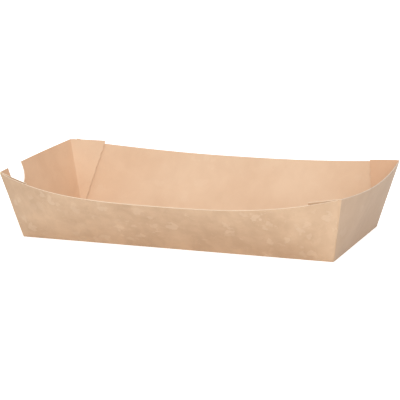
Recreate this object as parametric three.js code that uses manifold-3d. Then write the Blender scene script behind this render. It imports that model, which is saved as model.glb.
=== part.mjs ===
// Folded kraft card food tray, open on top, glued up from one flat blank.
// Millimetres, +Z up, long side along X; the origin is the middle of the base's underside.
// The end wall with the thumb notch is at -X. Each end wall carries two tapered glue flaps that turn
// the corner and lie inside the long walls, which bow outward between their glued ends.
import * as THREE from 'three';
import * as BufferGeometryUtils from 'three/addons/utils/BufferGeometryUtils.js';
import Module from 'manifold-3d';

// Card and folds
const CARD = 0.5; // thickness of the card
const CREASE_RADIUS = 1.0; // inside radius of a fold
const GLUE_LINE = 0.15; // clearance between a flap and the wall that it is glued to
const GLUE_BITE = 0.15; // how far a glue patch reaches into the card on each side

// Base
const BASE_LENGTH = 201.0;
const BASE_WIDTH = 84.0;
const BASE_MARGIN = 4.0; // width of base made together with each wall
const BASE_LAP = 1.5; // overlap of that margin with the middle of the base

// The four corners, each one folded a little differently. lean is how far the corner's top stands
// out beyond the base corner along X and along Y, and height is how far it stands above the floor.
// reach is the flap's width at the rim, proud how far its free end stands above the long wall's rim,
// setback the gap from the corner fold to the long wall's side edge at the rim, and rise how far the
// long wall's own corner stands above the flap.
const CORNERS = {
  frontLeft: { leanX: 10.9, leanY: 7.1, height: 41.4, reach: 20.5, proud: -0.4, setback: 2.8, rise: 0.0 },
  frontRight: { leanX: 8.6, leanY: 10.1, height: 40.4, reach: 18.0, proud: 1.7, setback: 2.0, rise: 0.0 },
  backRight: { leanX: 12.4, leanY: 8.5, height: 40.8, reach: 21.0, proud: 0.5, setback: 2.5, rise: 0.0 },
  backLeft: { leanX: 10.2, leanY: 8.5, height: 41.0, reach: 21.2, proud: 1.7, setback: 3.8, rise: 1.2 },
};
const RISE_LENGTH = 9.0; // stretch of rim over which a raised wall corner dies away

// Walls: bow is how far the middle of the rim stands out beyond the corners, and sag is how far it
// drops, as a share of the wall. The powers set how square the two curves are.
const LONG_WALL = { bow: 18.5, bowPower: 3.4, sag: 0.211, sagPower: 2.6 };
const END_WALL = { bow: 5.6, bowPower: 2.0, sag: 0.045, sagPower: 2.0 };

// Flaps
const FLAP_FOOT = 2.0; // width of a flap at the base
const FLAP_CLEARANCE = 3.0; // height of a flap's lower edge above the floor
const CORNER_ROUND = 1.2; // half width of the rounded corner fold
const GLUE_SPAN = [0.2, 0.8]; // share of a flap's width that is glued
const GLUE_HEIGHT = [0.3, 0.88]; // share of a flap's height that is glued

// Thumb notch in the left end wall
const NOTCH_OFFSET = 22.0; // from the middle of the wall toward the front
const NOTCH_RADIUS = 10.8;
const NOTCH_DEPTH = 14.0;

// Fineness of the mesh
const SPREAD = 1.5; // how much closer together the stations are near the corners
const LONG_STATIONS = 22;
const END_STATIONS = 12;
const FOLD_STEPS = 3;
const LEVELS = [0.2, 0.35, 0.5, 0.65, 0.8, 0.9, 1.0];

const UP = new THREE.Vector3(0, 0, 1);
const HALF_LENGTH = BASE_LENGTH / 2;
const HALF_WIDTH = BASE_WIDTH / 2;
const OUTER_RADIUS = CREASE_RADIUS + CARD;
const FLAP_INSET = CARD + GLUE_LINE;

const lerp = THREE.MathUtils.lerp;

// 0 at both ends and 1 in the middle
const swell = (t, power) => 1 - Math.abs(2 * t - 1) ** power;

// Stations from 0 to 1, closer together near both ends
function stations(count) {
  return Array.from({ length: count + 1 }, (_, i) => {
    const x = (2 * i) / count - 1;
    return 0.5 + 0.5 * Math.sign(x) * (1 - (1 - Math.abs(x)) ** SPREAD);
  });
}

// A bowed wall that stands on a straight fold from one base corner to the other. Points on it are
// given by s, the distance along the fold, and z, the height. Near each corner it is a cone of
// straight lines from the base corner to the rim, and between the two cones it is flat.
class Wall {
  constructor(foot, end, outward, tops, shape) {
    this.foot = foot;
    this.along = end.clone().sub(foot).normalize();
    this.length = end.distanceTo(foot);
    this.outward = outward;
    this.tops = tops;
    this.shape = shape;
    this.middle = this.rim(0.5);
  }

  // The rim at t from 0 to 1, as { s, g, z } with g the distance out from the fold
  rim(t) {
    const [a, b] = this.tops;
    const { bow, bowPower, sag, sagPower } = this.shape;
    const height = (a.z + b.z) / 2;
    const lean = (a.g + b.g) / 2;
    const drop = sag * swell(t, sagPower);
    const s = lerp(a.s, this.length + b.s, t);
    const reach = this.length + b.s - a.s;
    const rise = a.rise * Math.exp(-((t * reach / RISE_LENGTH) ** 2))
      + b.rise * Math.exp(-(((1 - t) * reach / RISE_LENGTH) ** 2));
    return {
      s,
      g: lerp(a.g, b.g, t) + bow * swell(t, bowPower) - drop * lean,
      z: lerp(a.z, b.z, t) - drop * height + rise,
    };
  }

  // Height of the rim at a distance along the rim
  rimHeight(s) {
    const [a, b] = this.tops;
    return this.rim((s - a.s) / (this.length + b.s - a.s)).z;
  }

  // Outward lean of the wall, as distance out per height
  lean(s, z) {
    const fromRight = s > this.length / 2;
    const ratio = (fromRight ? this.length - s : s) / z;
    const ratioAt = (t) => {
      const p = this.rim(fromRight ? 1 - t : t);
      return (fromRight ? this.length - p.s : p.s) / p.z;
    };
    let [low, high] = [0, 0.5];
    if (ratio >= ratioAt(high)) return this.middle.g / this.middle.z;
    for (let i = 0; i < 40; i += 1) {
      const t = (low + high) / 2;
      if (ratioAt(t) < ratio) low = t;
      else high = t;
    }
    const p = this.rim(fromRight ? 1 - low : low);
    return p.g / p.z;
  }

  place(s, g, z) {
    return this.foot.clone().addScaledVector(this.along, s).addScaledVector(this.outward, g).setZ(z);
  }

  point(s, z) {
    return this.place(s, z > 0 ? z * this.lean(s, z) : 0, z);
  }

  // Unit normal on the outside
  normal(s, z) {
    const step = 0.05;
    const du = this.point(s + step, z).sub(this.point(s - step, z));
    const dv = this.point(s, z + step).sub(this.point(s, z - step));
    const n = du.cross(dv).normalize();
    return n.dot(this.outward) < 0 ? n.negate() : n;
  }

  // Both faces of the card at a point of the wall, moved inward by inset
  skins(s, z, inset = 0, thickness = CARD) {
    const p = this.point(s, z);
    const n = this.normal(s, z);
    const outer = p.clone().addScaledVector(n, -inset);
    return { outer, inner: outer.clone().addScaledVector(n, -thickness), normal: n };
  }

  // The rounded fold at the foot: the base margin, then the arc up to the wall
  fold(s, first) {
    const rise = this.point(first.s, first.z);
    const out = rise.clone().sub(this.foot).dot(this.outward);
    const angle = Math.atan2(first.z, out);
    const tangent = OUTER_RADIUS * Math.tan(angle / 2);
    const rows = [{ outer: this.place(s, -BASE_MARGIN, 0), normal: UP.clone().negate() }];
    for (let i = 0; i <= FOLD_STEPS; i += 1) {
      const turn = (angle * i) / FOLD_STEPS;
      const z = OUTER_RADIUS * (1 - Math.cos(turn));
      const slide = (first.s - s) * (z / first.z);
      const g = OUTER_RADIUS * Math.sin(turn) - tangent;
      const normal = this.outward.clone().multiplyScalar(Math.sin(turn)).addScaledVector(UP, -Math.cos(turn));
      rows.push({ outer: this.place(s + slide, g, z), normal });
    }
    return rows.map((row) => ({ ...row, inner: row.outer.clone().addScaledVector(row.normal, -CARD) }));
  }

  // Where the corner fold stands at a share v of its height, measured along s
  cornerAt(v, last = false) {
    return last ? this.length + v * this.tops[1].s : v * this.tops[0].s;
  }
}

// A closed solid from a grid of outer and inner points; a null leaves a cell open
function sheet(columns) {
  const positions = [];
  const index = [];
  const ids = columns.map((column) => column.map((cell) => {
    if (!cell) return null;
    positions.push(...cell.outer.toArray(), ...cell.inner.toArray());
    return positions.length / 3 - 2;
  }));
  const filled = (c, r) => [[c, r], [c + 1, r], [c + 1, r + 1], [c, r + 1]]
    .every(([i, j]) => ids[i]?.[j] !== null && ids[i]?.[j] !== undefined);
  const quad = (a, b, c, d) => index.push(a, b, c, a, c, d);
  for (let c = 0; c < ids.length - 1; c += 1) {
    for (let r = 0; r < ids[c].length - 1; r += 1) {
      if (!filled(c, r)) continue;
      const [a, b, d, e] = [ids[c][r], ids[c + 1][r], ids[c + 1][r + 1], ids[c][r + 1]];
      quad(a, b, d, e);
      quad(e + 1, d + 1, b + 1, a + 1);
      if (!filled(c, r - 1)) quad(b, a, a + 1, b + 1);
      if (!filled(c + 1, r)) quad(d, b, b + 1, d + 1);
      if (!filled(c, r + 1)) quad(e, d, d + 1, e + 1);
      if (!filled(c - 1, r)) quad(a, e, e + 1, a + 1);
    }
  }
  const geometry = new THREE.BufferGeometry();
  geometry.setAttribute('position', new THREE.Float32BufferAttribute(positions, 3));
  geometry.setIndex(index);
  return outwardFaces(geometry);
}

// Turns every triangle round if the solid is inside out
function outwardFaces(geometry) {
  const [p, order] = [geometry.attributes.position, geometry.index.array];
  const [a, b, c] = [0, 1, 2].map(() => new THREE.Vector3());
  let volume = 0;
  for (let i = 0; i < order.length; i += 3) {
    [a, b, c].forEach((v, k) => v.fromBufferAttribute(p, order[i + k]));
    volume += a.dot(b.clone().cross(c));
  }
  if (volume < 0) {
    for (let i = 0; i < order.length; i += 3) [order[i + 1], order[i + 2]] = [order[i + 2], order[i + 1]];
  }
  return geometry;
}

// The top of one corner in a wall's own terms
const longTop = ({ leanX, leanY, height, rise }, sign) => ({ s: sign * leanX, g: leanY, z: height, rise });
const endTop = ({ leanX, leanY, height }, sign) => ({ s: sign * leanY, g: leanX, z: height, rise: 0 });

// side is -1 for the front wall and 1 for the back wall
function longWall(side, left, right) {
  const y = side * HALF_WIDTH;
  return new Wall(
    new THREE.Vector3(-HALF_LENGTH, y, 0),
    new THREE.Vector3(HALF_LENGTH, y, 0),
    new THREE.Vector3(0, side, 0),
    [longTop(left, -1), longTop(right, 1)],
    LONG_WALL,
  );
}

// side is -1 for the left end and 1 for the right end
function endWall(side, front, back) {
  const y = HALF_WIDTH - FLAP_INSET;
  return new Wall(
    new THREE.Vector3(side * HALF_LENGTH, -y, 0),
    new THREE.Vector3(side * HALF_LENGTH, y, 0),
    new THREE.Vector3(side, 0, 0),
    [endTop(front, -1), endTop(back, 1)],
    END_WALL,
  );
}

// A long wall with its fold and base margin; its side edges draw back from the corner folds
function longPanel(wall, left, right) {
  const edge = (v, last) => wall.cornerAt(v, last) + (last ? -1 : 1) * (last ? right : left).setback * v ** 3;
  const columns = stations(LONG_STATIONS).map((u) => {
    const at = (v) => lerp(edge(v, false), edge(v, true), u);
    const height = wall.rimHeight(at(1));
    const rows = LEVELS.map((v) => ({ s: at(v), z: v * height }));
    return [...wall.fold(at(0), rows[0]), ...rows.map(({ s, z }) => wall.skins(s, z))];
  });
  return sheet(columns);
}

// The columns of a flap, from its free edge to the corner fold or the other way round
function flapColumns(long, corner, last) {
  const sign = last ? -1 : 1;
  const topEdge = (x) => {
    const s = long.cornerAt(1, last) + sign * x;
    const share = x / corner.reach;
    const end = long.rimHeight(long.cornerAt(1, last) + sign * corner.reach) + corner.proud;
    return { s, z: lerp(corner.height, end, share) };
  };
  const widths = [1, 0.66, 0.33, 0].map((f) => (v) => (
    CORNER_ROUND + f * (lerp(FLAP_FOOT, corner.reach, v) - CORNER_ROUND)
  ));
  return widths.map((width) => {
    const top = topEdge(width(1));
    const foot = FLAP_CLEARANCE / top.z;
    const levels = LEVELS.map((v, i) => (i === 0 ? Math.max(foot, 0.05) : v));
    return levels.map((v) => {
      const s = long.cornerAt(v, last) + sign * width(v);
      return long.skins(s, v * top.z, FLAP_INSET);
    });
  });
}

// The rounded corner fold between a column of the flap and a column of the end wall
function cornerColumns(wall, from, to, last) {
  return [0.25, 0.5, 0.75].map((t) => from.map((cell, r) => {
    const other = to[r];
    const v = r === 0 ? FLAP_CLEARANCE / wall.tops[last ? 1 : 0].z : LEVELS[r];
    const tip = wall.skins(wall.cornerAt(v, last), v * wall.tops[last ? 1 : 0].z);
    const mean = cell.normal.clone().add(other.normal);
    const inner = tip.outer.clone().addScaledVector(mean, -CARD / (1 + cell.normal.dot(other.normal)));
    return {
      outer: new THREE.QuadraticBezierCurve3(cell.outer, tip.outer, other.outer).getPoint(t),
      inner: new THREE.QuadraticBezierCurve3(cell.inner, inner, other.inner).getPoint(t),
    };
  }));
}

// An end wall with its fold and base margin, and the two flaps that turn its corners
function endPanel(wall, front, back) {
  const at = (v, u) => lerp(wall.cornerAt(v, false) + CORNER_ROUND, wall.cornerAt(v, true) - CORNER_ROUND, u);
  const foldRows = FOLD_STEPS + 2;
  const middle = stations(END_STATIONS).map((u) => {
    const height = wall.rimHeight(at(1, u));
    const levels = LEVELS.map((v, i) => (i === 0 ? FLAP_CLEARANCE / height : v));
    const rows = levels.map((v) => ({ s: at(v, u), z: v * height }));
    return [...wall.fold(at(0, u), rows[0]), ...rows.map(({ s, z }) => wall.skins(s, z))];
  });
  const open = (columns) => columns.map((column) => [...Array(foldRows).fill(null), ...column]);
  const frontFlap = flapColumns(front.long, front.corner, front.last);
  const backFlap = flapColumns(back.long, back.corner, back.last).reverse();
  const upper = (column) => column.slice(foldRows);
  const frontFold = cornerColumns(wall, frontFlap.at(-1), upper(middle[0]), false);
  const backFold = cornerColumns(wall, upper(middle.at(-1)), backFlap[0], true);
  return sheet([...open(frontFlap), ...open(frontFold), ...middle, ...open(backFold), ...open(backFlap)]);
}

// The glue between a flap and its long wall, reaching a little into both
function gluePatch(long, corner, last) {
  const sign = last ? -1 : 1;
  const depth = CARD - GLUE_BITE;
  const thickness = GLUE_LINE + 2 * GLUE_BITE;
  const columns = [0, 0.5, 1].map((f) => [0, 0.33, 0.67, 1].map((h) => {
    const v = lerp(GLUE_HEIGHT[0], GLUE_HEIGHT[1], h);
    const width = lerp(FLAP_FOOT, corner.reach, v) * lerp(GLUE_SPAN[0], GLUE_SPAN[1], f);
    const s = long.cornerAt(v, last) + sign * width;
    const top = long.rimHeight(long.cornerAt(1, last) + sign * (width / v));
    return long.skins(s, v * top, depth, thickness);
  }));
  return sheet(columns);
}

// The middle of the base, between the margins that the walls bring
function basePlate() {
  const length = BASE_LENGTH - 2 * (BASE_MARGIN - BASE_LAP);
  const width = BASE_WIDTH - 2 * (BASE_MARGIN - BASE_LAP);
  return new THREE.BoxGeometry(length, width, CARD).translate(0, 0, CARD / 2);
}

// The U-shaped tool that cuts the thumb notch, square to the leaning wall
function notchTool(wall) {
  const s = wall.length / 2 - NOTCH_OFFSET;
  const top = wall.rimHeight(s);
  const rim = wall.point(s, top);
  const lean = Math.atan2(rim.clone().sub(wall.foot).dot(wall.outward), top);
  const above = 2 * NOTCH_DEPTH;
  const shape = new THREE.Shape();
  shape.moveTo(-NOTCH_RADIUS, above);
  shape.lineTo(-NOTCH_RADIUS, NOTCH_RADIUS - NOTCH_DEPTH);
  shape.absarc(0, NOTCH_RADIUS - NOTCH_DEPTH, NOTCH_RADIUS, Math.PI, 2 * Math.PI, false);
  shape.lineTo(NOTCH_RADIUS, above);
  shape.closePath();
  const depth = 20 * CARD + wall.shape.bow;
  const tool = new THREE.ExtrudeGeometry(shape, { depth, bevelEnabled: false, curveSegments: 20 });
  tool.translate(0, 0, -depth / 2);
  const through = wall.along.clone().cross(UP);
  const tilt = lean * Math.sign(wall.outward.dot(through));
  tool.applyMatrix4(new THREE.Matrix4().makeBasis(wall.along, UP, through));
  tool.applyMatrix4(new THREE.Matrix4().makeRotationAxis(wall.along, tilt));
  return tool.translate(rim.x, rim.y, rim.z);
}

const wasm = await Module();
wasm.setup();

function toSolid(geometry) {
  const bare = geometry.clone();
  bare.deleteAttribute('normal');
  bare.deleteAttribute('uv');
  const merged = BufferGeometryUtils.mergeVertices(bare, 1e-4);
  return new wasm.Manifold(new wasm.Mesh({
    numProp: 3,
    vertProperties: new Float32Array(merged.attributes.position.array),
    triVerts: new Uint32Array(merged.index.array),
  }));
}

function toGeometry(solid) {
  const mesh = solid.getMesh();
  const geometry = new THREE.BufferGeometry();
  geometry.setAttribute('position', new THREE.BufferAttribute(mesh.vertProperties, 3));
  geometry.setIndex(new THREE.BufferAttribute(mesh.triVerts, 1));
  geometry.computeVertexNormals();
  return geometry;
}

function foldedTray() {
  const { frontLeft, frontRight, backLeft, backRight } = CORNERS;
  const front = longWall(-1, frontLeft, frontRight);
  const back = longWall(1, backLeft, backRight);
  const left = endWall(-1, frontLeft, backLeft);
  const right = endWall(1, frontRight, backRight);
  const glued = [
    [front, frontLeft, false],
    [front, frontRight, true],
    [back, backLeft, false],
    [back, backRight, true],
  ];
  const [fl, fr, bl, br] = glued.map(([long, corner, last]) => ({ long, corner, last }));
  const pieces = [
    longPanel(front, frontLeft, frontRight),
    longPanel(back, backLeft, backRight),
    endPanel(left, fl, bl),
    endPanel(right, fr, br),
    ...glued.map((flap) => gluePatch(...flap)),
  ];
  const joined = pieces.map(toSolid).reduce((sum, piece) => sum.add(piece), toSolid(basePlate()));
  return toGeometry(joined.subtract(toSolid(notchTool(left))));
}

const kraft = new THREE.MeshStandardMaterial({ color: 0xd8b08a, roughness: 0.85, metalness: 0.0 });
const tray = new THREE.Group();
const card = new THREE.Mesh(foldedTray(), kraft);
card.name = 'folded_card_tray';
tray.add(card);

export default tray;
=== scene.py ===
import math
from collections import namedtuple
import bpy
import bmesh
from mathutils import Matrix, Vector


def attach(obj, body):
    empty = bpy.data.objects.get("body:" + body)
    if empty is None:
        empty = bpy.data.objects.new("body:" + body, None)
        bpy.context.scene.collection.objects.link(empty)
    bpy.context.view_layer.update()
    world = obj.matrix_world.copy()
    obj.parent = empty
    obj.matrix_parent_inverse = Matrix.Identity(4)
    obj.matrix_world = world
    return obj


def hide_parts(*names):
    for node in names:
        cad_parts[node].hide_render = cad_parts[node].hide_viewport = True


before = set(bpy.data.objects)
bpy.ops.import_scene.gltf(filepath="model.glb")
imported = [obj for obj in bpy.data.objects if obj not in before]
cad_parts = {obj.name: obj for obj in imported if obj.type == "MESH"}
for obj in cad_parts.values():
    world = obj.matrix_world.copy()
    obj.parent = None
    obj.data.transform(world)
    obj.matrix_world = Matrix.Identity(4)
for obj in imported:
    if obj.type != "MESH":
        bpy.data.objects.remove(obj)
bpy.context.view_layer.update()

# The card. One sheet of uncoated brown kraft board, half a millimetre thick, is all that the tray is
# made of. The mottled face is outside and the smoother, paler one inside. The die-cut edges are
# given a paler colour than either face.
CARD_THICKNESS = 0.0005
OUTSIDE_COLOR = (0.748, 0.521, 0.341)
OUTSIDE_DARK = (0.600, 0.397, 0.248)
OUTSIDE_PALE = (0.860, 0.660, 0.480)
INSIDE_COLOR = (0.832, 0.602, 0.417)
INSIDE_DARK = (0.735, 0.495, 0.325)
INSIDE_PALE = (0.870, 0.660, 0.480)
EDGE_COLOR = (0.930, 0.760, 0.580)
EDGE_PALE = (0.950, 0.820, 0.660)
FIBRE_LENGTH = 0.0035
RELIEF_DEPTH = 0.0002


def calculate(tree, operation, *values):
    node = tree.nodes.new("ShaderNodeMath")
    node.operation = operation
    for socket, value in zip(node.inputs, values):
        if isinstance(value, bpy.types.NodeSocket):
            tree.links.new(value, socket)
        else:
            socket.default_value = value
    return node.outputs[0]


def pulp_group():
    """Wood pulp as it shows on kraft board: soft clouds, torn flakes of pulp and short pale fibres."""
    tree = bpy.data.node_groups.new("kraft pulp", "ShaderNodeTree")
    tree.interface.new_socket("Vector", in_out="INPUT", socket_type="NodeSocketVector")
    for name in ("Blotch Size", "Fibre Length", "Seed"):
        tree.interface.new_socket(name, in_out="INPUT", socket_type="NodeSocketFloat")
    for name in ("Clouds", "Blotches", "Pale Flakes", "Dark Flakes", "Fibres", "Relief"):
        tree.interface.new_socket(name, in_out="OUTPUT", socket_type="NodeSocketFloat")
    start = tree.nodes.new("NodeGroupInput")
    end = tree.nodes.new("NodeGroupOutput")
    place, blotch, fibre, seed = start.outputs[:4]

    def noise(vector, scale, detail, roughness, shift, distortion=0.0):
        node = tree.nodes.new("ShaderNodeTexNoise")
        node.noise_dimensions = "4D"
        tree.links.new(vector, node.inputs["Vector"])
        tree.links.new(calculate(tree, "ADD", seed, shift), node.inputs["W"])
        tree.links.new(scale, node.inputs["Scale"])
        node.inputs["Detail"].default_value = detail
        node.inputs["Roughness"].default_value = roughness
        node.inputs["Distortion"].default_value = distortion
        return node.outputs

    def spread(value, low, high):
        node = tree.nodes.new("ShaderNodeMapRange")
        node.interpolation_type = "SMOOTHSTEP"
        tree.links.new(value, node.inputs["Value"])
        node.inputs["From Min"].default_value = low
        node.inputs["From Max"].default_value = high
        return node.outputs["Result"]

    def vector_math(operation, a, b):
        node = tree.nodes.new("ShaderNodeVectorMath")
        node.operation = operation
        tree.links.new(a, node.inputs[0])
        if isinstance(b, bpy.types.NodeSocket):
            tree.links.new(b, node.inputs[1])
        else:
            node.inputs[1].default_value = b
        return node.outputs[0]

    coarse = calculate(tree, "DIVIDE", 0.35, blotch)
    fine = calculate(tree, "DIVIDE", 1.0, blotch)
    clouds = spread(noise(place, coarse, 2.0, 0.5, 0.0)["Fac"], 0.32, 0.68)
    blotches = spread(noise(place, fine, 3.5, 0.60, 3.1, 0.6)["Fac"], 0.34, 0.66)

    # Flakes: cells with ragged edges, of which some are pale and some are dark
    ragged = noise(place, calculate(tree, "DIVIDE", 1.3, blotch), 3.0, 0.6, 6.3)
    pushed = vector_math("SUBTRACT", ragged["Color"], (0.5, 0.5, 0.5))
    push = tree.nodes.new("ShaderNodeVectorMath")
    push.operation = "SCALE"
    tree.links.new(pushed, push.inputs[0])
    tree.links.new(calculate(tree, "MULTIPLY", blotch, 1.8), push.inputs["Scale"])
    cells = tree.nodes.new("ShaderNodeTexVoronoi")
    cells.feature = "F1"
    tree.links.new(vector_math("ADD", place, push.outputs[0]), cells.inputs["Vector"])
    tree.links.new(calculate(tree, "DIVIDE", 1.25, blotch), cells.inputs["Scale"])
    chance = tree.nodes.new("ShaderNodeSeparateColor")
    tree.links.new(cells.outputs["Color"], chance.inputs[0])
    larger = calculate(tree, "MULTIPLY", chance.outputs[2], 0.25)
    reach = calculate(tree, "SUBTRACT", cells.outputs["Distance"], larger)
    island = calculate(tree, "SUBTRACT", 1.0, spread(reach, 0.18, 0.40))
    pale = calculate(tree, "MULTIPLY", island, spread(chance.outputs[0], 0.55, 1.00))
    dark = calculate(tree, "MULTIPLY", island, spread(chance.outputs[1], 0.60, 1.00))

    streaks = None
    for turn, shift in ((0.15, 5.7), (1.85, 8.3), (-0.85, 11.9)):
        turned = tree.nodes.new("ShaderNodeVectorRotate")
        turned.rotation_type = "Z_AXIS"
        tree.links.new(place, turned.inputs["Vector"])
        turned.inputs["Angle"].default_value = turn
        stretched = vector_math("MULTIPLY", turned.outputs[0], (1.0, 5.0, 1.0))
        length = calculate(tree, "DIVIDE", 1.0, fibre)
        streak = spread(noise(stretched, length, 2.0, 0.5, shift, 0.25)["Fac"], 0.66, 0.76)
        streaks = streak if streaks is None else calculate(tree, "MAXIMUM", streaks, streak)

    relief = calculate(tree, "ADD", calculate(tree, "MULTIPLY", blotches, 0.5),
                       calculate(tree, "MULTIPLY", streaks, 0.5))
    for socket, value in zip(end.inputs, (clouds, blotches, pale, dark, streaks, relief)):
        tree.links.new(value, socket)
    return tree


pulp = pulp_group()


def card_face(name, colors, contrast, blotch, bump, seed, roughness):
    """One face of the board: its colour varies with the pulp under it and is darkened by each panel's
    painted shade.
    """
    color, dark, pale = colors
    material = bpy.data.materials.new(name)
    material.use_nodes = True
    tree = material.node_tree
    shader = tree.nodes["Principled BSDF"]
    shader.inputs["Roughness"].default_value = roughness
    uv = tree.nodes.new("ShaderNodeUVMap")
    uv.uv_map = "blank"
    group = tree.nodes.new("ShaderNodeGroup")
    group.node_tree = pulp
    tree.links.new(uv.outputs["UV"], group.inputs["Vector"])
    group.inputs["Blotch Size"].default_value = blotch
    group.inputs["Fibre Length"].default_value = FIBRE_LENGTH
    group.inputs["Seed"].default_value = seed

    def mix(fac, a, b, blend="MIX"):
        node = tree.nodes.new("ShaderNodeMix")
        node.data_type = "RGBA"
        node.blend_type = blend
        for socket, value in ((node.inputs[0], fac), (node.inputs[6], a), (node.inputs[7], b)):
            if isinstance(value, bpy.types.NodeSocket):
                tree.links.new(value, socket)
            else:
                socket.default_value = value if isinstance(value, float) else (*value, 1.0)
        return node.outputs[2]

    # A calm panel shows less of the mottling than the others
    calm = tree.nodes.new("ShaderNodeAttribute")
    calm.attribute_name = "calm"
    shown = calculate(tree, "SUBTRACT", 1.0, calm.outputs["Fac"])
    strength = calculate(tree, "MULTIPLY", shown, contrast)

    def share(output, weight):
        weighted = calculate(tree, "MULTIPLY", group.outputs[output], weight)
        return calculate(tree, "MULTIPLY", weighted, strength)

    tone = mix(calculate(tree, "ADD", share("Clouds", 0.50), share("Blotches", 0.30)), color, dark)
    tone = mix(share("Pale Flakes", 0.32), tone, pale)
    tone = mix(share("Dark Flakes", 0.22), tone, dark)
    tone = mix(share("Fibres", 0.30), tone, pale)

    # Painted shade: the colour loses each panel's own share of red, green and blue, kept on its faces, to
    # shade the end walls and the back right flap
    stain = tree.nodes.new("ShaderNodeAttribute")
    stain.attribute_name = "stain"
    shade_multiplier = mix(1.0, (1.0, 1.0, 1.0), stain.outputs["Color"], "SUBTRACT")
    tree.links.new(mix(1.0, tone, shade_multiplier, "MULTIPLY"), shader.inputs["Base Color"])
    height = tree.nodes.new("ShaderNodeBump")
    height.inputs["Strength"].default_value = bump
    height.inputs["Distance"].default_value = RELIEF_DEPTH
    tree.links.new(group.outputs["Relief"], height.inputs["Height"])
    tree.links.new(height.outputs["Normal"], shader.inputs["Normal"])
    return material


outside_card = card_face("kraft_outside", (OUTSIDE_COLOR, OUTSIDE_DARK, OUTSIDE_PALE), contrast=1.15,
                         blotch=0.0075, bump=0.4, seed=1.0, roughness=0.68)
inside_card = card_face("kraft_inside", (INSIDE_COLOR, INSIDE_DARK, INSIDE_PALE), contrast=0.8,
                        blotch=0.012, bump=0.3, seed=9.0, roughness=0.78)
cut_card = card_face("kraft_cut_edge", (EDGE_COLOR, INSIDE_COLOR, EDGE_PALE), contrast=0.6,
                     blotch=0.0015, bump=0.5, seed=4.0, roughness=0.9)

# The four walls, each one a panel of the card blank folded up along a straight crease. The long walls
# are held upright at their ends, where they are glued, and lean out between them, so their rims bow
# outward and drop.
BASE_LENGTH = 0.201
BASE_WIDTH = 0.084
GLUE_LINE = 0.00015
FLAP_INSET = CARD_THICKNESS + GLUE_LINE
Corner = namedtuple("Corner", "lean_along lean_out height reach proud setback rise lift")
# A corner's top leans out along and across the tray and has a height. Its flap has a reach at the
# rim, an end that stands proud of it, and a free edge that lifts off. The long wall's side edge is
# set back from the corner fold, and its own corner may rise.
CORNERS = {
    "front left": Corner(0.0109, 0.0071, 0.0414, 0.0205, -0.0012, 0.0028, 0.0, 0.0020),
    "front right": Corner(0.0086, 0.0101, 0.0404, 0.0180, 0.0010, 0.0020, 0.0, 0.0008),
    "back right": Corner(0.0124, 0.0085, 0.0408, 0.0210, 0.0005, 0.0025, 0.0, 0.0006),
    "back left": Corner(0.0102, 0.0085, 0.0410, 0.0212, 0.0017, 0.0038, 0.0012, 0.0004),
}
RISE_LENGTH = 0.0090
LONG_SHAPE = {"bow": 0.0185, "sag": 0.211, "sag_power": 2.6, "flare": 3.1}
END_SHAPE = {"bow": 0.0056, "sag": 0.045, "sag_power": 2.0, "flare": 2.0}
# How much red, green and blue is taken from a wall's colour as painted shade on the end walls, and how
# much of its mottling is missing
WALL_PAINTED_SHADE = {
    "front": (0, 0, 0), "right": (0.165, 0.145, 0.090),
    "back": (0, 0, 0), "left": (0.03, 0.085, 0.125),
}
WALL_CALM = {"front": 0.0, "right": 0.55, "back": 0.0, "left": 0.0}
EDGE_FOOT = 0.0003
WAVINESS = 0.0006
ROWS = 29
LONG_COLUMNS = 81
END_COLUMNS = 37
PANEL_INPUTS = {
    "NodeSocketVector": (
        "Fold Start", "Along", "Outward", "Blank Start", "Blank Along", "Blank Outward", "Stain"),
    "NodeSocketFloat": (
        "Fold Length", "Rise Length",
        "First Lean Along", "First Lean Out", "First Height", "First Rise",
        "Last Lean Along", "Last Lean Out", "Last Height", "Last Rise",
        "Bow", "Sag", "Sag Power", "Flare",
        "First Edge Foot", "First Edge Top", "Last Edge Foot", "Last Edge Top", "Edge Power",
        "Start Share", "Straight Top", "First Top", "Last Top",
        "Inset", "Lift", "Free Edge First", "Ragged Edge", "Waviness", "Calm"),
    "NodeSocketInt": ("Columns", "Rows"),
    "NodeSocketMaterial": ("Card",),
}


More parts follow.
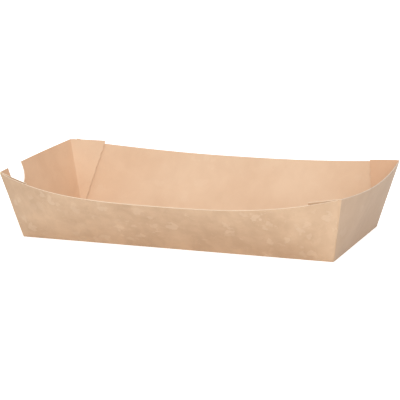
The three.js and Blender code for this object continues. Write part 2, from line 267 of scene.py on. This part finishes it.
def panel_tree():
    """Folds one panel: a flat grid is bent up the wall's two cones and the flat part between them."""
    tree = bpy.data.node_groups.new("folded card panel", "GeometryNodeTree")
    tree.interface.new_socket("Geometry", in_out="INPUT", socket_type="NodeSocketGeometry")
    for kind, names in PANEL_INPUTS.items():
        for name in names:
            tree.interface.new_socket(name, in_out="INPUT", socket_type=kind)
    tree.interface.new_socket("Geometry", in_out="OUTPUT", socket_type="NodeSocketGeometry")
    start = tree.nodes.new("NodeGroupInput")
    end = tree.nodes.new("NodeGroupOutput")
    size = start.outputs
    link = tree.links.new

    def calc(operation, *values):
        return calculate(tree, operation, *values)

    def blend(share, a, b):
        return calc("ADD", a, calc("MULTIPLY", share, calc("SUBTRACT", b, a)))

    def swell(share, power):
        away = calc("ABSOLUTE", calc("SUBTRACT", calc("MULTIPLY", share, 2.0), 1.0))
        return calc("SUBTRACT", 1.0, calc("POWER", away, power))

    def scaled(vector, factor):
        node = tree.nodes.new("ShaderNodeVectorMath")
        node.operation = "SCALE"
        link(vector, node.inputs[0])
        link(factor, node.inputs["Scale"])
        return node.outputs[0]

    def total(*vectors):
        result = vectors[0]
        for vector in vectors[1:]:
            node = tree.nodes.new("ShaderNodeVectorMath")
            node.operation = "ADD"
            link(result, node.inputs[0])
            link(vector, node.inputs[1])
            result = node.outputs[0]
        return result

    # The flat grid, from 0 to 1 across and up
    grid = tree.nodes.new("GeometryNodeMeshGrid")
    link(size["Columns"], grid.inputs["Vertices X"])
    link(size["Rows"], grid.inputs["Vertices Y"])
    where = tree.nodes.new("GeometryNodeInputPosition")
    axes = tree.nodes.new("ShaderNodeSeparateXYZ")
    link(where.outputs[0], axes.inputs[0])
    across = calc("ADD", axes.outputs[0], 0.5)
    up = blend(calc("ADD", axes.outputs[1], 0.5), size["Start Share"], 1.0)

    # The panel's two side edges, measured from the corner folds
    def side(share):
        rounded = calc("POWER", share, size["Edge Power"])
        first = calc("SUBTRACT", blend(rounded, size["First Edge Foot"], size["First Edge Top"]),
                     calc("MULTIPLY", share, size["First Lean Along"]))
        fold_end = calc("ADD", size["Fold Length"], calc("MULTIPLY", share, size["Last Lean Along"]))
        last = calc("SUBTRACT", fold_end, blend(rounded, size["Last Edge Foot"], size["Last Edge Top"]))
        return blend(across, first, last)

    # A glue flap's free edge is slightly ragged from a worn die
    free = blend(size["Free Edge First"], across, calc("SUBTRACT", 1.0, across))
    die = tree.nodes.new("ShaderNodeTexNoise")
    die.noise_dimensions = "1D"
    link(up, die.inputs["W"])
    die.inputs["Scale"].default_value = 17.0
    die.inputs["Detail"].default_value = 3.0
    die.inputs["Roughness"].default_value = 0.65
    ragged = calc("MULTIPLY", size["Ragged Edge"], calc("SUBTRACT", die.outputs["Fac"], 0.5))
    along = calc("ADD", side(up), calc("MULTIPLY", ragged, free))
    along_top = side(1.0)

    # The rim's height here, and the panel's own top edge
    both_leans = calc("ADD", size["First Lean Along"], size["Last Lean Along"])
    rim_length = calc("ADD", size["Fold Length"], both_leans)
    share = calc("DIVIDE", calc("ADD", along_top, size["First Lean Along"]), rim_length)
    mean_height = calc("MULTIPLY", calc("ADD", size["First Height"], size["Last Height"]), 0.5)
    mean_out = calc("MULTIPLY", calc("ADD", size["First Lean Out"], size["Last Lean Out"]), 0.5)
    drop = calc("MULTIPLY", size["Sag"], swell(share, size["Sag Power"]))

    def bump(from_corner, rise):
        falloff = calc("MULTIPLY", -1.0, calc("POWER", from_corner, 2.0))
        return calc("MULTIPLY", rise, calc("EXPONENT", falloff))

    from_first = calc("DIVIDE", calc("MULTIPLY", share, rim_length), size["Rise Length"])
    rest = calc("SUBTRACT", 1.0, share)
    from_last = calc("DIVIDE", calc("MULTIPLY", rest, rim_length), size["Rise Length"])
    rim = blend(share, size["First Height"], size["Last Height"])
    rim = calc("SUBTRACT", rim, calc("MULTIPLY", drop, mean_height))
    rises = calc("ADD", bump(from_first, size["First Rise"]), bump(from_last, size["Last Rise"]))
    rim = calc("ADD", rim, rises)
    top = blend(size["Straight Top"], rim, blend(across, size["First Top"], size["Last Top"]))
    height = calc("MULTIPLY", up, top)

    # The lean at this point: least at the corner fold, most on the flat middle
    last_half = calc("GREATER_THAN", along, calc("MULTIPLY", size["Fold Length"], 0.5))
    near = blend(last_half, along, calc("SUBTRACT", size["Fold Length"], along))
    corner_along = blend(last_half, size["First Lean Along"], size["Last Lean Along"])
    corner_out = blend(last_half, size["First Lean Out"], size["Last Lean Out"])
    corner_height = blend(last_half, size["First Height"], size["Last Height"])
    kept = calc("SUBTRACT", 1.0, size["Sag"])
    middle_height = calc("MULTIPLY", mean_height, kept)
    middle_lean = calc("DIVIDE", calc("ADD", calc("MULTIPLY", mean_out, kept), size["Bow"]), middle_height)
    half_shift = calc("MULTIPLY", calc("SUBTRACT", size["Last Lean Along"], size["First Lean Along"]), 0.5)
    middle_shift = blend(last_half, half_shift, calc("MULTIPLY", half_shift, -1.0))
    middle_along = calc("ADD", calc("MULTIPLY", size["Fold Length"], 0.5), middle_shift)
    ray = calc("DIVIDE", near, calc("MAXIMUM", height, 1e-6))
    ray_corner = calc("MULTIPLY", -1.0, calc("DIVIDE", corner_along, corner_height))
    ray_middle = calc("DIVIDE", middle_along, middle_height)
    turn = calc("DIVIDE", calc("SUBTRACT", ray, ray_corner), calc("SUBTRACT", ray_middle, ray_corner))
    turn = calc("MINIMUM", calc("MAXIMUM", turn, 0.0), 1.0)
    open_share = calc("SUBTRACT", 1.0, calc("POWER", calc("SUBTRACT", 1.0, turn), size["Flare"]))
    lean = blend(open_share, calc("DIVIDE", corner_out, corner_height), middle_lean)

    # Hand folding leaves the wall slightly wavy, and a wall's ends stay true
    wave = tree.nodes.new("ShaderNodeTexNoise")
    wave.noise_dimensions = "2D"
    on_wall = tree.nodes.new("ShaderNodeCombineXYZ")
    link(along, on_wall.inputs[0])
    link(height, on_wall.inputs[1])
    link(on_wall.outputs[0], wave.inputs["Vector"])
    wave.inputs["Scale"].default_value = 28.0
    wave.inputs["Detail"].default_value = 1.0
    ripple = calc("MULTIPLY", size["Waviness"], calc("SUBTRACT", wave.outputs["Fac"], 0.5))
    ripple = calc("MULTIPLY", ripple, calc("MULTIPLY", up, swell(across, 6.0)))
    out = calc("ADD", calc("MULTIPLY", height, lean), ripple)

    # What is kept from the flat sheet: each point's place on the blank, its nearness to a free edge,
    # how much painted shade the panel carries and how calm it is
    slant = calc("MULTIPLY", height, calc("SQRT", calc("ADD", 1.0, calc("POWER", lean, 2.0))))
    flat = total(size["Blank Start"], scaled(size["Blank Along"], along))
    flat = total(flat, scaled(size["Blank Outward"], slant))
    geometry = grid.outputs["Mesh"]
    kept_values = (("blank", "FLOAT2", "CORNER", flat), ("free", "FLOAT", "POINT", free),
                   ("stain", "FLOAT_VECTOR", "CORNER", size["Stain"]),
                   ("calm", "FLOAT", "CORNER", size["Calm"]))
    for name, kind, domain, value in kept_values:
        store = tree.nodes.new("GeometryNodeStoreNamedAttribute")
        store.data_type = kind
        store.domain = domain
        store.inputs["Name"].default_value = name
        link(geometry, store.inputs["Geometry"])
        link(value, store.inputs["Value"])
        geometry = store.outputs[0]

    upward = tree.nodes.new("ShaderNodeCombineXYZ")
    link(height, upward.inputs[2])
    folded = tree.nodes.new("GeometryNodeSetPosition")
    link(geometry, folded.inputs["Geometry"])
    spot = total(size["Fold Start"], scaled(size["Along"], along))
    spot = total(spot, scaled(size["Outward"], out), upward.outputs[0])
    link(spot, folded.inputs["Position"])

    # A glue flap lies inside its wall, and its free edge stands a little off it
    freedom = tree.nodes.new("GeometryNodeInputNamedAttribute")
    freedom.data_type = "FLOAT"
    freedom.inputs["Name"].default_value = "free"
    facing = tree.nodes.new("GeometryNodeInputNormal")
    lifted = calc("MULTIPLY", size["Lift"], freedom.outputs[0])
    inward = calc("MULTIPLY", -1.0, calc("ADD", size["Inset"], lifted))
    laid = tree.nodes.new("GeometryNodeSetPosition")
    link(folded.outputs[0], laid.inputs["Geometry"])
    link(scaled(facing.outputs[0], inward), laid.inputs["Offset"])

    real = tree.nodes.new("GeometryNodeRealizeInstances")
    link(laid.outputs[0], real.inputs[0])
    painted = tree.nodes.new("GeometryNodeSetMaterial")
    link(real.outputs[0], painted.inputs["Geometry"])
    link(size["Card"], painted.inputs["Material"])
    link(painted.outputs[0], end.inputs["Geometry"])
    return tree


panel_folding = panel_tree()


def fold_panel(name, **sizes):
    """A panel as a plain mesh, its vertices running up each column in turn; sizes left out are 0."""
    carrier = bpy.data.objects.new(name, bpy.data.meshes.new(name))
    bpy.context.scene.collection.objects.link(carrier)
    modifier = carrier.modifiers.new("fold", "NODES")
    modifier.node_group = panel_folding
    for item in panel_folding.interface.items_tree:
        key = item.name.lower().replace(" ", "_")
        if item.in_out == "INPUT" and key in sizes:
            modifier[item.identifier] = sizes.pop(key)
    assert not sizes, sizes
    graph = bpy.context.evaluated_depsgraph_get()
    mesh = bpy.data.meshes.new_from_object(carrier.evaluated_get(graph))
    bpy.data.objects.remove(carrier)
    return mesh


class Side:
    """A wall's own sizes, from its first base corner to its last, going round anticlockwise."""

    def __init__(self, name, corners, start, along, outward, long):
        self.name = name
        self.first, self.last = (CORNERS[corner] for corner in corners)
        self.start, self.along, self.outward = Vector(start), Vector(along), Vector(outward)
        self.long = long
        self.shape = LONG_SHAPE if long else END_SHAPE
        self.length = BASE_LENGTH if long else BASE_WIDTH - 2 * FLAP_INSET

    def lean(self, corner):
        across = (corner.lean_along, corner.lean_out)
        return across if self.long else across[::-1]

    def rise(self, corner):
        return corner.rise if self.long else 0.0

    def rim_length(self):
        return self.length + self.lean(self.first)[0] + self.lean(self.last)[0]

    def rim_height(self, distance):
        """Height of the rim at a distance from the first corner's top."""
        share = distance / self.rim_length()
        drop = self.shape["sag"] * (1 - abs(2 * share - 1) ** self.shape["sag_power"])
        height = self.first.height + (self.last.height - self.first.height) * share
        height -= drop * (self.first.height + self.last.height) / 2
        for corner, away in ((self.first, distance), (self.last, self.rim_length() - distance)):
            height += self.rise(corner) * math.exp(-(away / RISE_LENGTH) ** 2)
        return height

    def sizes(self):
        first, last = self.lean(self.first), self.lean(self.last)
        return {
            "fold_start": self.start, "along": self.along, "outward": self.outward,
            "fold_length": self.length, "rise_length": RISE_LENGTH,
            "first_lean_along": first[0], "first_lean_out": first[1], "first_height": self.first.height,
            "last_lean_along": last[0], "last_lean_out": last[1], "last_height": self.last.height,
            "first_rise": self.rise(self.first), "last_rise": self.rise(self.last), **self.shape,
        }


half_length = BASE_LENGTH / 2
half_width = BASE_WIDTH / 2
half_end = half_width - FLAP_INSET
front = Side("front", ("front left", "front right"), (-half_length, -half_width, 0), (1, 0, 0), (0, -1, 0),
             long=True)
right = Side("right", ("front right", "back right"), (half_length, -half_end, 0), (0, 1, 0), (1, 0, 0),
             long=False)
back = Side("back", ("back right", "back left"), (half_length, half_width, 0), (-1, 0, 0), (0, 1, 0),
            long=True)
left = Side("left", ("back left", "front left"), (-half_length, half_end, 0), (0, -1, 0), (-1, 0, 0),
            long=False)

panels = {}
for side in (front, right, back, left):
    edge = {}
    if side.long:
        edge = {"first_edge_foot": EDGE_FOOT, "first_edge_top": side.first.setback,
                "last_edge_foot": EDGE_FOOT, "last_edge_top": side.last.setback, "waviness": WAVINESS}
    panels[side.name] = fold_panel(
        side.name, **side.sizes(), **edge, edge_power=3.0,
        columns=LONG_COLUMNS if side.long else END_COLUMNS, rows=ROWS,
        blank_start=side.start, blank_along=side.along, blank_outward=side.outward,
        stain=WALL_PAINTED_SHADE[side.name], calm=WALL_CALM[side.name], card=outside_card)

# The four glue flaps, cut in one with the end walls. Each turns the corner, tapers to a point at the
# base and is glued inside a long wall, with its free edge a hair off it. Their free edges are a
# little ragged, as a worn die leaves them.
FLAP_COLUMNS = 13
FLAP_FOOT = 0.0020
RAGGED_EDGE = 0.0032
# Painted shade on the back right flap, deep in its corner: how much red, green and blue is taken from each
# flap's colour
FLAP_PAINTED_SHADE = {
    "front_left_flap": (0, 0, 0), "front_right_flap": (0, 0, 0),
    "back_right_flap": (0.045, 0.135, 0.190), "back_left_flap": (0, 0, 0),
}
for side, at_first, end_name in ((front, True, "left"), (front, False, "right"),
                                 (back, True, "right"), (back, False, "left")):
    corner = side.first if at_first else side.last
    free_distance = corner.reach if at_first else side.rim_length() - corner.reach
    free_top = side.rim_height(free_distance) + corner.proud
    free_side, fold_side = ("last", "first") if at_first else ("first", "last")
    end = {"left": left, "right": right}[end_name]
    flap_start = side.start if at_first else side.start + side.along * side.length
    name = f"{side.name}_{end_name}_flap"
    panels[name] = fold_panel(
        name, **side.sizes(), edge_power=1.0, start_share=1.0 / (ROWS - 1), straight_top=1.0,
        columns=FLAP_COLUMNS, rows=ROWS - 1, inset=FLAP_INSET, lift=corner.lift,
        free_edge_first=0.0 if at_first else 1.0,
        blank_start=flap_start + side.outward * (0.0 if at_first else side.length),
        blank_along=side.outward * (1.0 if at_first else -1.0), blank_outward=end.outward,
        stain=FLAP_PAINTED_SHADE[name], ragged_edge=RAGGED_EDGE, card=outside_card,
        **{f"{free_side}_edge_foot": side.length - FLAP_FOOT,
           f"{free_side}_edge_top": side.rim_length() - corner.reach,
           f"{fold_side}_top": corner.height, f"{free_side}_top": free_top})

    # Its corner fold is the end wall's own side edge
    at_end_first = (end is right) == (side is front)
    end_column = 0 if at_end_first else END_COLUMNS - 1
    flap_column = 0 if at_first else FLAP_COLUMNS - 1
    for row in range(ROWS - 1):
        target = panels[end_name].vertices[end_column * ROWS + row + 1].co
        panels[name].vertices[flap_column * (ROWS - 1) + row].co = target

# The folded tray: base, walls and flaps are one sheet of card. Every crease is rolled to a small
# radius, the sheet has its thickness, and the thumb notch is punched through the left end wall.
NOTCH_RADIUS = 0.0108
NOTCH_DEPTH = 0.0140
NOTCH_OFFSET = 0.0220
NOTCH_STEPS = 48
LEAN_AT_NOTCH = 0.4
PUNCH_REACH = 0.008
FOLD_WIDTH = 0.0016
FOOT_FOLD_SHARE = 0.65

sheet = bmesh.new()
panel_of = sheet.faces.layers.int.new("panel")
for number, mesh in enumerate(panels.values(), start=1):
    known = set(sheet.faces)
    sheet.from_mesh(mesh)
    for face in sheet.faces:
        if face not in known:
            face[panel_of] = number
blank = sheet.loops.layers.uv.get("blank") or sheet.loops.layers.uv.new("blank")

sheet.verts.ensure_lookup_table()
foot = [v for v in sheet.verts if abs(v.co.z) < 1e-6]
foot.sort(key=lambda v: math.atan2(v.co.y / BASE_WIDTH, v.co.x / BASE_LENGTH))
base = sheet.faces.new(list(reversed(foot)))
base[panel_of] = 0
for loop in base.loops:
    loop[blank].uv = loop.vert.co.xy
bmesh.ops.remove_doubles(sheet, verts=sheet.verts, dist=0.00005)
bevel = sheet.edges.layers.float.new("bevel_weight_edge")
for crease in sheet.edges:
    if len(crease.link_faces) == 2 and len({face[panel_of] for face in crease.link_faces}) == 2:
        crease[bevel] = FOOT_FOLD_SHARE if base in crease.link_faces else 1.0
card_mesh = bpy.data.meshes.new("card_blank")
sheet.to_mesh(card_mesh)
sheet.free()

tray = bpy.data.objects.new("card_tray", card_mesh)
bpy.context.scene.collection.objects.link(tray)
card_mesh.materials.clear()
for material in (outside_card, inside_card, cut_card):
    card_mesh.materials.append(material)
rolled = tray.modifiers.new("rolled creases", "BEVEL")
rolled.limit_method = "WEIGHT"
rolled.width = FOLD_WIDTH
rolled.segments = 3
rolled.use_clamp_overlap = True
thick = tray.modifiers.new("card thickness", "SOLIDIFY")
thick.thickness = CARD_THICKNESS
thick.offset = -1.0
thick.use_even_offset = True
thick.material_offset = 1
thick.material_offset_rim = 2

# The punch: a U as wide as a thumb, square to the leaning wall
notch_distance = left.rim_length() / 2 + NOTCH_OFFSET
rim_z = left.rim_height(notch_distance)
rim_out = LEAN_AT_NOTCH * rim_z
punch = bmesh.new()
outline = [(-NOTCH_RADIUS, NOTCH_DEPTH)]
outline += [(NOTCH_RADIUS * math.cos(a), NOTCH_RADIUS - NOTCH_DEPTH + NOTCH_RADIUS * math.sin(a))
            for a in (math.pi + math.pi * i / NOTCH_STEPS for i in range(NOTCH_STEPS + 1))]
outline.append((NOTCH_RADIUS, NOTCH_DEPTH))
lean = math.atan2(rim_out, rim_z)
rings = []
for depth in (-PUNCH_REACH, PUNCH_REACH):
    ring = []
    for across, up in outline:
        x = -half_length - rim_out - up * math.sin(lean) - depth * math.cos(lean)
        z = rim_z + up * math.cos(lean) - depth * math.sin(lean)
        ring.append(punch.verts.new((x, -NOTCH_OFFSET + across, z)))
    rings.append(ring)
punch.faces.new(rings[0])
punch.faces.new(list(reversed(rings[1])))
for i in range(len(outline)):
    j = (i + 1) % len(outline)
    punch.faces.new((rings[0][i], rings[1][i], rings[1][j], rings[0][j]))
bmesh.ops.recalc_face_normals(punch, faces=punch.faces)
punch_mesh = bpy.data.meshes.new("notch_punch")
punch.to_mesh(punch_mesh)
punch.free()
punch_mesh.materials.append(cut_card)
punch_tool = bpy.data.objects.new("notch_punch", punch_mesh)
bpy.context.scene.collection.objects.link(punch_tool)
notch = tray.modifiers.new("thumb notch", "BOOLEAN")
notch.operation = "DIFFERENCE"
notch.solver = "EXACT"
notch.material_mode = "TRANSFER"
notch.object = punch_tool

graph = bpy.context.evaluated_depsgraph_get()
finished = bpy.data.meshes.new_from_object(tray.evaluated_get(graph))
tray.modifiers.clear()
tray.data = finished
bpy.data.objects.remove(punch_tool)
finished.shade_smooth()
finished.set_sharp_from_angle(angle=math.radians(40))
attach(tray, "root")
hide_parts("folded_card_tray")

# The picture: a white sweep, broad soft light from the camera's side and above, and a long lens.
CAMERA_TURN, CAMERA_DROP, CAMERA_ROLL = math.radians(22.429), math.radians(14.147), math.radians(1.562)
CAMERA_PLACE = (0.000152, 0.019395, 1.291073)
FOCAL_PIXELS = 2096.554
PICTURE_PIXELS = 400

level = math.cos(CAMERA_DROP)
forward = Vector((-math.sin(CAMERA_TURN) * level, math.cos(CAMERA_TURN) * level, -math.sin(CAMERA_DROP)))
across = forward.cross(Vector((0, 0, 1))).normalized()
down = forward.cross(across)
cosine, sine = math.cos(CAMERA_ROLL), math.sin(CAMERA_ROLL)
across, down = cosine * across + sine * down, cosine * down - sine * across
place = -(across * CAMERA_PLACE[0] + down * CAMERA_PLACE[1] + forward * CAMERA_PLACE[2])
lens = bpy.data.cameras.new("camera")
lens.sensor_width = 36.0
lens.lens = FOCAL_PIXELS / PICTURE_PIXELS * lens.sensor_width
lens.clip_start = 0.05
lens.clip_end = 20.0
camera = bpy.data.objects.new("camera", lens)
camera.matrix_world = Matrix.Translation(place) @ Matrix((across, -down, -forward)).transposed().to_4x4()
bpy.context.scene.collection.objects.link(camera)
bpy.context.scene.camera = camera


def soft_lamp(name, place, power, size, color):
    light = bpy.data.lights.new(name, "AREA")
    light.shape = "DISK"
    light.size = size
    light.energy = power
    light.color = color
    lamp = bpy.data.objects.new(name, light)
    aim = Vector(place).to_track_quat("Z", "Y").to_matrix().to_4x4()
    lamp.matrix_world = Matrix.Translation(place) @ aim
    bpy.context.scene.collection.objects.link(lamp)


soft_lamp("front_softbox", (0.50, -1.20, 0.55), 8.2, 0.9, (1.0, 1.0, 1.0))
soft_lamp("top_softbox", (-0.25, 0.10, 1.20), 3.5, 1.0, (1.0, 1.0, 1.0))
soft_lamp("side_fill", (1.20, -0.30, 0.25), 0.70, 0.8, (0.70, 0.85, 1.0))

ROOM_LIGHT = 0.55
FLOOR_GLOW = 0.66
world = bpy.data.worlds.new("white_room")
bpy.context.scene.world = world
world.use_nodes = True
room = world.node_tree
room.nodes["Background"].inputs["Color"].default_value = (1, 1, 1, 1)


def seen_directly(tree):
    """1 for what the camera sees itself or in a reflection, and 0 for light on the object."""
    path = tree.nodes.new("ShaderNodeLightPath").outputs
    mirrored = calculate(tree, "MAXIMUM", path["Is Glossy Ray"], path["Is Transmission Ray"])
    return calculate(tree, "MAXIMUM", path["Is Camera Ray"], mirrored)


white = calculate(room, "MULTIPLY", seen_directly(room), 1.0 - ROOM_LIGHT)
room.links.new(calculate(room, "ADD", white, ROOM_LIGHT), room.nodes["Background"].inputs["Strength"])

floor_mesh = bpy.data.meshes.new("floor")
floor_mesh.from_pydata([(-4, -4, 0), (4, -4, 0), (4, 4, 0), (-4, 4, 0)], [], [(0, 1, 2, 3)])
floor = bpy.data.objects.new("floor", floor_mesh)
bpy.context.scene.collection.objects.link(floor)
paper = bpy.data.materials.new("white_sweep")
paper.use_nodes = True
tree = paper.node_tree
tree.nodes.remove(tree.nodes["Principled BSDF"])
diffuse = tree.nodes.new("ShaderNodeBsdfDiffuse")
diffuse.inputs["Color"].default_value = (0.9, 0.9, 0.9, 1)
glow = tree.nodes.new("ShaderNodeEmission")
tree.links.new(calculate(tree, "MULTIPLY", seen_directly(tree), FLOOR_GLOW), glow.inputs["Strength"])
both = tree.nodes.new("ShaderNodeAddShader")
tree.links.new(diffuse.outputs[0], both.inputs[0])
tree.links.new(glow.outputs[0], both.inputs[1])
tree.links.new(both.outputs[0], tree.nodes["Material Output"].inputs["Surface"])
floor_mesh.materials.append(paper)

bpy.context.scene.view_settings.view_transform = "Standard"
